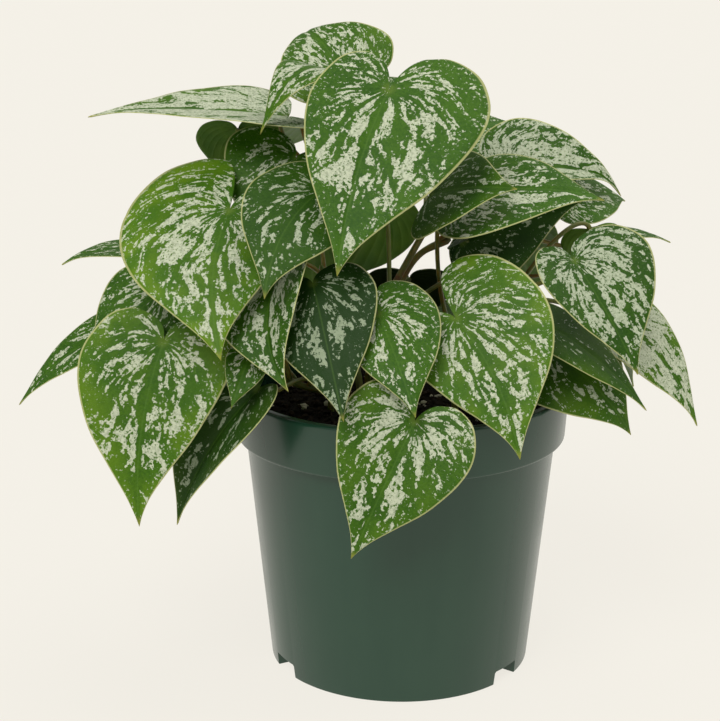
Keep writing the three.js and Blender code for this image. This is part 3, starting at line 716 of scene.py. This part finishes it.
def soil_material():
    g = Graph("potting_mix")
    place = g.place()
    grain = g.noise(place, 420.0, 5.0, 0.7)
    clods = g.noise(place, 110.0, 3.0, 0.6)
    color = g.mix(g.ramp(clods, 0.3, 0.7), SOIL_DARK, SOIL_LIGHT)
    color = g.mix(g.ramp(grain, 0.64, 0.74), color, SOIL_FLECK)
    height = g.math("ADD", grain, clods)
    return g.finish(g.surface(color, 0.92, g.bump(height, 0.9, 0.0015), Specular_IOR_Level=0.2))


def crumb_material():
    g = Graph("bark_crumbs")
    place = g.place()
    tint = g.noise(place, 230.0, 1.0)
    color = g.mix(g.ramp(tint, 0.35, 0.7), BARK_DARK, BARK_LIGHT)
    normal = g.bump(g.noise(place, 1500.0, 4.0), 0.6, 0.0006)
    return g.finish(g.surface(color, 0.88, normal, Specular_IOR_Level=0.25))


def perlite_material():
    g = Graph("mineral_grains")
    place = g.place()
    color = g.mix(g.noise(place, 600.0, 3.0), PERLITE_DARK, PERLITE_LIGHT)
    return g.finish(g.surface(color, 0.85, g.bump(g.noise(place, 2200.0, 4.0), 0.5, 0.0004)))


def pot_material():
    """Dark green moulded plastic, with faint flow marks and fine scuffs."""
    g = Graph("green_plastic")
    place = g.place()
    x, y, z = g.parts(place)
    around = g.math("ARCTAN2", y, x)
    drawn = g.join(g.math("MULTIPLY", around, 5.0), g.math("MULTIPLY", z, 9.0), 0.0)
    streaks = g.noise(drawn, 1.0, 2.0, 0.5)
    cloud = g.noise(place, 22.0, 3.0, 0.6)
    shade = g.math("ADD", g.math("MULTIPLY", streaks, 0.5), g.math("MULTIPLY", cloud, 0.5))
    color = g.mix(g.ramp(shade, 0.35, 0.65), PLASTIC_DARK, PLASTIC_LIGHT)
    scuff = g.ramp(g.noise(place, 260.0, 5.0, 0.7), 0.64, 0.74, 0.0, 0.12)
    color = g.mix(scuff, color, PLASTIC_SCUFF)
    rough = g.ramp(cloud, 0.3, 0.7, 0.21, 0.27)
    height = g.math("MULTIPLY", streaks, 0.4)
    height = g.math("MULTIPLY_ADD", g.noise(place, 700.0, 3.0), 0.25, height)
    return g.finish(g.surface(color, rough, g.bump(height, 0.12, 0.0006), Specular_IOR_Level=0.5))


def floor_material():
    g = Graph("pale_floor")
    color = g.mix(g.noise(g.place(), 3.0, 2.0), FLOOR_DARK, FLOOR_LIGHT)
    return g.finish(g.surface(color, 0.9, None, Specular_IOR_Level=0.0, Emission_Color=FLOOR_GLOW,
                              Emission_Strength=FLOOR_BRIGHTNESS))


def new_object(name, vertices, faces, materials, indices=None):
    mesh = bpy.data.meshes.new(name)
    mesh.from_pydata([tuple(p) for p in vertices], [], [tuple(f) for f in faces])
    for material in materials:
        mesh.materials.append(material)
    if indices is not None:
        mesh.polygons.foreach_set("material_index", indices)
    mesh.polygons.foreach_set("use_smooth", [True] * len(mesh.polygons))
    mesh.update()
    obj = bpy.data.objects.new(name, mesh)
    bpy.context.scene.collection.objects.link(obj)
    return obj


def give(obj, name, values):
    layer = obj.data.attributes.new(name, "FLOAT_VECTOR", "POINT")
    layer.data.foreach_set("vector", np.asarray(values, "float32").ravel())


def body_of_piece(obj, node):
    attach(obj, "root")
    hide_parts(node)


def sheet_relief(across, along, length, w, number):
    """How far the blade rises from its middle surface: slowly waved, and quilted between the side veins."""
    places = zip(0.055 * across, 0.055 * along)
    ripple = np.array([noise.noise(Vector((a, b, number))) for a, b in places])
    distance = np.hypot(across, along) / length
    vein = np.arctan2(across, along) * (1 + VEIN_BEND * distance ** 2)
    quilt = 0.5 - 0.5 * np.cos(2 * np.pi * VEINS_PER_RADIAN * vein)
    fade = smooth(w / 0.25) * smooth((1 - w) / 0.2) * smooth(distance / 0.3)
    return WAVE * ripple * smooth(np.abs(across) / 8) + QUILT * quilt * fade


def blade_grid():
    """The net of a blade. Returns v (0 beside the sinus, 1 at the tip), w (0 at the midrib, 1 at the
    margin) and the side (-1 or 1) of each vertex, and the faces."""
    rows, columns = BLADE_ROWS, BLADE_COLUMNS
    sinus_row = round(SINUS_V * rows)
    index = {}
    v_list, w_list, side_list = [], [], []

    def vertex(row, column):
        if row == rows:
            key = "tip"
        elif column == 0:
            key = (max(row, sinus_row), 0)
        else:
            key = (row, column)
        if key not in index:
            index[key] = len(v_list)
            v_list.append(row / rows)
            w_list.append(abs(column) / columns)
            side_list.append(-1 if column < 0 else 1)
        return index[key]

    faces = []
    for row in range(rows):
        for column in range(-columns, columns):
            places = ((row, column), (row + 1, column), (row + 1, column + 1), (row, column + 1))
            corners = [vertex(*place) for place in places]
            ring = [c for k, c in enumerate(corners) if c != corners[k - 1]]
            if len(ring) > 2:
                faces.append(ring)
    v = np.array(v_list)
    v[index[(sinus_row, 0)]] = SINUS_V
    return v, np.array(w_list), np.array(side_list), faces


def build_leaf(name, leaf, materials, number):
    blade = Blade(leaf)
    v, w, side, faces = blade_grid()
    points = np.zeros((len(v), 3))
    across, along = np.zeros(len(v)), np.zeros(len(v))
    for s in (-1, 1):
        pick = side == s
        points[pick] = blade.point(v[pick], w[pick], s)
        a, b = blade.plane(v[pick], w[pick], s)
        across[pick], along[pick] = s * a * blade.length, b * blade.length

    normals = np.zeros_like(points)
    for ring in faces:
        p = points[ring]
        normals[ring] += np.cross(p[1] - p[0], p[2] - p[0]) + np.cross(p[2] - p[0], p[-1] - p[0])
    normals /= np.linalg.norm(normals, axis=1, keepdims=True)
    share = np.clip(along / blade.length, 0, 1)
    bump = sheet_relief(across, along, blade.length, w, number)
    rib = np.exp(-(across / RIB_WIDTH) ** 2) * (along > -1)
    edge = BLADE_THICKNESS / 2 * (0.35 + 0.65 * smooth((1 - w) / 0.08))
    top = points + normals * (bump + edge - RIB_GROOVE * rib * (1 - share))[:, None]
    bottom = points + normals * (bump - edge - RIB_RIDGE * rib * (1 - 0.8 * share))[:, None]

    count = len(points)
    upper = len(faces)
    every = list(faces) + [[c + count for c in reversed(ring)] for ring in faces]
    edges = {(ring[k - 1], ring[k]) for ring in faces for k in range(len(ring))}
    rim = [(b, a, a + count, b + count) for a, b in edges if (b, a) not in edges]
    every += sorted(rim)
    indices = [0] * upper + [1] * upper + [0] * len(rim)
    obj = new_object(name + "_blade", np.vstack([top, bottom]) * MM, every, materials, indices)
    places = np.stack([across, along, np.full(count, number)], -1)
    spreads = np.stack([w, np.full(count, blade.length), np.zeros(count)], -1)
    give(obj, "place", np.tile(places, (2, 1)))
    give(obj, "spread", np.tile(spreads, (2, 1)))
    give(obj, "look", np.tile(LOOKS.get(name, PLAIN_LOOK), (2 * count, 1)))
    body_of_piece(obj, name)


def catmull_rom(points, t):
    """A centripetal Catmull-Rom curve through the points, at t from 0 to 1."""
    points = [np.array(p, float) for p in points]
    last = len(points) - 1
    x = t * last
    i = min(int(x), last - 1)
    u = x - i
    p1, p2 = points[i], points[i + 1]
    p0 = points[i - 1] if i > 0 else 2 * p1 - p2
    p3 = points[i + 2] if i + 2 <= last else 2 * p2 - p1
    d0, d1, d2 = (max(np.sum((b - a) ** 2) ** 0.25, 1e-4) for a, b in ((p0, p1), (p1, p2), (p2, p3)))
    m1 = ((p1 - p0) / d0 - (p2 - p0) / (d0 + d1) + (p2 - p1) / d1) * d1
    m2 = ((p2 - p1) / d1 - (p3 - p1) / (d1 + d2) + (p3 - p2) / d2) * d1
    return p1 + m1 * u + (3 * (p2 - p1) - 2 * m1 - m2) * u ** 2 + (2 * (p1 - p2) + m1 + m2) * u ** 3


def stem_points(vine):
    straight = [(*vine["root"], STEM_FOOT + z) for z in (0, 11, 22, 27)]
    return straight + [tuple(p) for p in vine["path"]]


def node_at(points, height):
    low, high = 0.0, 1.0
    for _ in range(20):
        middle = (low + high) / 2
        if catmull_rom(points, middle)[2] < height:
            low = middle
        else:
            high = middle
    return catmull_rom(points, low)


def stalk_points(stem, leaf, node, rise=None, reach=None, bend=None, slant=0, steps=26):
    """A leaf stalk rises from its node and bends over to meet its leaf's underside just past the sinus."""
    blade = Blade(leaf)
    b = np.array(0.04)
    height, _, shift = blade.midrib(b)
    normal = blade.normal_at(b)
    lean = math.radians(slant)
    end = blade.base + blade.length * (b * blade.along + height * blade.up + shift * blade.across)
    end = end - normal * (BLADE_THICKNESS / 2 + STALK_RADIUS * math.sin(lean) * 0.5)
    arrival = normal * math.cos(lean) + blade.along * math.sin(lean)
    start = node_at(stem, node)
    span = np.linalg.norm(end - start)
    if bend is None:
        first = start + 0.2 * (end - start)
        first[2] += 0.3 * span if rise is None else rise
    else:
        first = np.array(bend, float)
    last = end - arrival * (0.3 * span if reach is None else reach)
    t = np.linspace(0, 1, steps)[:, None]
    return start * (1 - t) ** 3 + 3 * first * t * (1 - t) ** 2 + 3 * last * t ** 2 * (1 - t) + end * t ** 3


def tube(points, radii, sides):
    """A closed tube along the points. Returns vertices, faces and each vertex's run and angle."""
    points = np.asarray(points, float)
    tangents = np.gradient(points, axis=0)
    tangents /= np.linalg.norm(tangents, axis=1, keepdims=True)
    side = np.cross(tangents[0], (0.31, 0.52, 0.80))
    side /= np.linalg.norm(side)
    run = np.concatenate([[0], np.cumsum(np.linalg.norm(np.diff(points, axis=0), axis=1))])
    vertices, grain = [], []
    for p, t, r, d in zip(points, tangents, radii, run):
        side = side - side.dot(t) * t
        side /= np.linalg.norm(side)
        other = np.cross(t, side)
        for k in range(sides):
            a = 2 * math.pi * k / sides
            vertices.append(p + r * (math.cos(a) * side + math.sin(a) * other))
            grain.append((d, abs(k - sides / 2) / sides))
    faces = []
    rings = len(points)
    for i in range(rings - 1):
        for k in range(sides):
            a, b = i * sides + k, i * sides + (k + 1) % sides
            faces.append((a, b, b + sides, a + sides))
    faces.append(tuple(range(sides - 1, -1, -1)))
    faces.append(tuple((rings - 1) * sides + k for k in range(sides)))
    return vertices, faces, grain


def build_vine(name, vine, material, red):
    stem = stem_points(vine)
    rng = random.Random(name)
    vertices, faces, grain = [], [], []

    def add(points, radii, sides, redness):
        v, f, g = tube(points, radii, sides)
        offset = len(vertices)
        vertices.extend(v)
        faces.extend(tuple(c + offset for c in ring) for ring in f)
        grain.extend((run, angle, redness) for run, angle in g)

    steps = 60
    line = np.array([catmull_rom(stem, i / (steps - 1)) for i in range(steps)])
    nodes = sorted(spec["node"] for spec in vine["leaves"].values())
    radii = np.full(steps, float(vine["radius"]))
    for height in nodes:
        radii += 0.35 * np.exp(-((line[:, 2] - height) / 1.2) ** 2)
    radii *= 1 - 0.18 * np.linspace(0, 1, steps)
    radii[-1] *= 0.5
    add(line, radii, 14, red)
    for leaf_name, spec in vine["leaves"].items():
        points = stalk_points(stem, LEAVES[leaf_name], **spec)
        t = np.linspace(0, 1, len(points))
        thick = STALK_RADIUS * (1.12 - 0.22 * smooth(t / 0.3) + 0.16 * smooth((t - 0.88) / 0.08))
        thick[-1] *= 0.8
        add(points, thick, 10, red * rng.uniform(0.5, 1.0))
    obj = new_object(name + "_stems", np.array(vertices) * MM, faces, [material])
    give(obj, "grain", grain)
    body_of_piece(obj, name)


def inside_radius(z):
    return BASE_RADIUS + (BODY_TOP_RADIUS - BASE_RADIUS) * z / BAND_BOTTOM - WALL


def rounded(profile):
    """The profile with its corners rounded. Entries are radius, height and corner size."""
    result = []
    for k, (r, z, size) in enumerate(profile):
        if size == 0 or k in (0, len(profile) - 1):
            result.append((r, z))
            continue
        here = np.array((r, z))
        before = np.array(profile[k - 1][:2]) - here
        after = np.array(profile[k + 1][:2]) - here
        start = here + before / np.linalg.norm(before) * size
        end = here + after / np.linalg.norm(after) * size
        for t in np.linspace(0, 1, 5):
            result.append(tuple((1 - t) ** 2 * start + 2 * t * (1 - t) * here + t * t * end))
    return result


def lathe_mesh(profile, sides):
    vertices, faces = [], []
    rings = []
    for r, z in profile:
        if r < 1e-6:
            rings.append([len(vertices)])
            vertices.append((0, 0, z))
            continue
        rings.append([len(vertices) + k for k in range(sides)])
        angles = [2 * math.pi * k / sides for k in range(sides)]
        vertices += [(r * math.cos(a), r * math.sin(a), z) for a in angles]
    for low, high in zip(rings, rings[1:]):
        for k in range(sides):
            a, b = low[k % len(low)], low[(k + 1) % len(low)]
            c, d = high[(k + 1) % len(high)], high[k % len(high)]
            ring = [x for n, x in enumerate((a, b, c, d)) if x != (a, b, c, d)[n - 1]]
            if len(ring) > 2:
                faces.append(ring)
    return vertices, faces


POT_SIDES = 192


def build_pot(material):
    ledge = NOTCH_HEIGHT + WALL
    ledge_radius = BASE_RADIUS - NOTCH_DEPTH - 2 * WALL
    rim_inner = RIM_RADIUS - RIM_WIDTH
    profile = rounded([
        (0, 0, 0),
        (BASE_RADIUS, 0, 0.6),
        (BODY_TOP_RADIUS, BAND_BOTTOM, 0.9),
        (BAND_RADIUS, BAND_BOTTOM, 1.5),
        (RIM_RADIUS, POT_HEIGHT, 1.7),
        (rim_inner, POT_HEIGHT, 1.7),
        (inside_radius(BAND_BOTTOM), BAND_BOTTOM, 0.9),
        (inside_radius(ledge), ledge, 0.8),
        (ledge_radius, ledge, 0.5),
        (ledge_radius, FLOOR, 0.5),
        (0, FLOOR, 0),
    ])
    vertices, faces = lathe_mesh(profile, POT_SIDES)
    pot = new_object("pot_shell", np.array(vertices) * MM, faces, [material])
    for towards in NOTCH_DIRECTIONS:
        bm = bmesh.new()
        bmesh.ops.create_cube(bm, size=1)
        for corner in bm.verts:
            corner.co.x *= NOTCH_WIDTH * MM * (1.0 if corner.co.z < 0 else 0.92)
            corner.co.y = corner.co.y * 2 * NOTCH_DEPTH * MM - BASE_RADIUS * MM
            corner.co.z *= 2 * NOTCH_HEIGHT * MM
        upright = [e for e in bm.edges if abs(e.verts[0].co.y - e.verts[1].co.y) > 0.01]
        bmesh.ops.bevel(bm, geom=upright, offset=0.0005, segments=2, affect="EDGES")
        mesh = bpy.data.meshes.new("notch")
        bm.to_mesh(mesh)
        bm.free()
        cutter = bpy.data.objects.new("notch", mesh)
        cutter.rotation_euler = (0, 0, math.radians(towards))
        bpy.context.scene.collection.objects.link(cutter)
        cut = pot.modifiers.new("notch", "BOOLEAN")
        cut.operation = "DIFFERENCE"
        cut.solver = "EXACT"
        cut.object = cutter
        bpy.context.view_layer.objects.active = pot
        bpy.ops.object.modifier_apply(modifier=cut.name)
        bpy.data.objects.remove(cutter)
        bpy.data.meshes.remove(mesh)
    pot.data.polygons.foreach_set("use_smooth", [True] * len(pot.data.polygons))
    pot.data.set_sharp_from_angle(angle=math.radians(35))
    body_of_piece(pot, "pot")


# Pale grains that show at the front left.
PERLITE_SPOTS = ((-47, -9, 2.6), (-36, -5, 2.8), (-63, -7, 1.6))

# The lumps of the soil: their size, their fineness and where in the noise they are taken.
SOIL_LUMPS = ((1.6, 0.06, 3.1), (0.9, 0.2, 8.7), (0.5, 0.6, 1.3))
SOIL_ROWS = 90
SOIL_SIDES = 220
SOIL_SKIRT = SOIL_EDGE - 14
SOIL_GAP = 0.2
CROWN_REACH = 74


def soil_height(x, y):
    """The soil's surface in millimetres: slightly crowned, lumpy and a little lower by the wall."""
    r = math.hypot(x, y)
    crown = SOIL_CROWN + (SOIL_EDGE - SOIL_CROWN) * min(r / CROWN_REACH, 1)
    lumps = sum(size * noise.noise(Vector((x * fine, y * fine, level))) for size, fine, level in SOIL_LUMPS)
    return crown + lumps


def build_soil(material):
    edge = inside_radius(SOIL_SKIRT) - 0.15
    ledge = NOTCH_HEIGHT + WALL
    ledge_radius = BASE_RADIUS - NOTCH_DEPTH - 2 * WALL
    surface = [(edge * k / SOIL_ROWS, SOIL_EDGE) for k in range(SOIL_ROWS, 0, -1)]
    profile = [
        (0, FLOOR + SOIL_GAP),
        (ledge_radius - SOIL_GAP, FLOOR + SOIL_GAP),
        (ledge_radius - SOIL_GAP, ledge + SOIL_GAP),
        (inside_radius(ledge) - SOIL_GAP, ledge + SOIL_GAP),
        (edge, SOIL_SKIRT),
    ] + surface + [(0, SOIL_EDGE)]
    vertices, faces = lathe_mesh(profile, SOIL_SIDES)
    lifted = [(x, y, soil_height(x, y) if z == SOIL_EDGE else z) for x, y, z in vertices]
    soil = new_object("soil_fill", np.array(lifted) * MM, faces, [material])
    body_of_piece(soil, "potting_soil")


def scatter(name, count, sizes, reach, material, seed, flatten, placed=()):
    """Small rough lumps half sunk in the soil, in one mesh. The placed ones (x, y, size) come first."""
    rng = random.Random(seed)
    placed = list(placed)
    bm = bmesh.new()
    bmesh.ops.create_icosphere(bm, subdivisions=1, radius=1)
    shape = np.array([v.co[:] for v in bm.verts])
    rings = [[v.index for v in f.verts] for f in bm.faces]
    bm.free()
    vertices, faces = [], []
    while len(vertices) < count * len(shape):
        r = reach * math.sqrt(rng.random())
        a = rng.uniform(0, 2 * math.pi)
        x, y = r * math.cos(a), r * math.sin(a)
        size = rng.uniform(*sizes) * rng.uniform(0.6, 1.0)
        if placed:
            x, y, size = placed.pop(0)
        stretch = np.array([rng.uniform(0.7, 1.5), rng.uniform(0.6, 1.0), rng.uniform(*flatten)])
        turn = rng.uniform(0, 2 * math.pi)
        tilt = rng.uniform(-0.5, 0.5)
        lump = shape * (1 + np.array([[rng.uniform(-0.22, 0.22)] for _ in shape])) * stretch * size
        turned = Matrix.Rotation(turn, 3, "Z") @ Matrix.Rotation(tilt, 3, "X")
        lump = lump @ np.array(turned).T
        offset = len(vertices)
        vertices.extend(lump + (x, y, soil_height(x, y) + 0.2 * size))
        faces.extend([c + offset for c in ring] for ring in rings)
    obj = new_object(name, np.array(vertices) * MM, faces, [material])
    obj.data.polygons.foreach_set("use_smooth", [False] * len(obj.data.polygons))
    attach(obj, "root")


def add_camera():
    camera = bpy.data.objects.new("camera", bpy.data.cameras.new("camera"))
    camera.data.lens = CAMERA_LENS
    camera.data.sensor_width = 36
    camera.location = CAMERA_PLACE
    camera.rotation_euler = (math.pi / 2 - CAMERA_DOWN, 0, 0)
    camera.data.clip_end = 100
    bpy.context.scene.collection.objects.link(camera)
    bpy.context.scene.camera = camera


def add_sun(name, strength, softness, towards):
    """A soft light from far away, seen in the given direction."""
    light = bpy.data.lights.new(name, "SUN")
    light.energy = strength
    light.angle = math.radians(softness)
    light.color = LIGHT_COLOR
    obj = bpy.data.objects.new(name, light)
    obj.rotation_euler = Vector(towards).to_track_quat("Z", "Y").to_euler()
    bpy.context.scene.collection.objects.link(obj)


def add_stage():
    corners = [(x * FLOOR_SIZE, y * FLOOR_SIZE, 0) for x, y in ((-1, -1), (1, -1), (1, 1), (-1, 1))]
    floor = new_object("floor", corners, [(0, 1, 2, 3)], [floor_material()])
    world = bpy.data.worlds.new("studio")
    world.use_nodes = True
    sky = world.node_tree.nodes["Background"]
    sky.inputs["Color"].default_value = (*LIGHT_COLOR, 1)
    sky.inputs["Strength"].default_value = SKY_BRIGHTNESS
    bpy.context.scene.world = world
    for name, (strength, softness, towards) in SUNS.items():
        add_sun(name, strength, softness, towards)


bpy.context.scene.view_settings.view_transform = "Standard"
add_camera()
add_stage()

blade_materials = [leaf_material(), underside_material()]
for number, (leaf_name, leaf) in enumerate(LEAVES.items()):
    build_leaf(leaf_name, leaf, blade_materials, 3.7 * number + 1.0)
stem_skin = stalk_material()
for vine_name, vine in VINES.items():
    build_vine(vine_name, vine, stem_skin, VINE_REDNESS.get(vine_name, 0.2))
build_pot(pot_material())
build_soil(soil_material())
scatter("soil_crumbs", 1500, (0.8, 2.6), 71, crumb_material(), 11, (0.4, 0.9))
scatter("perlite_grains", 90, (1.0, 2.3), 69, perlite_material(), 5, (0.7, 1.0), PERLITE_SPOTS)
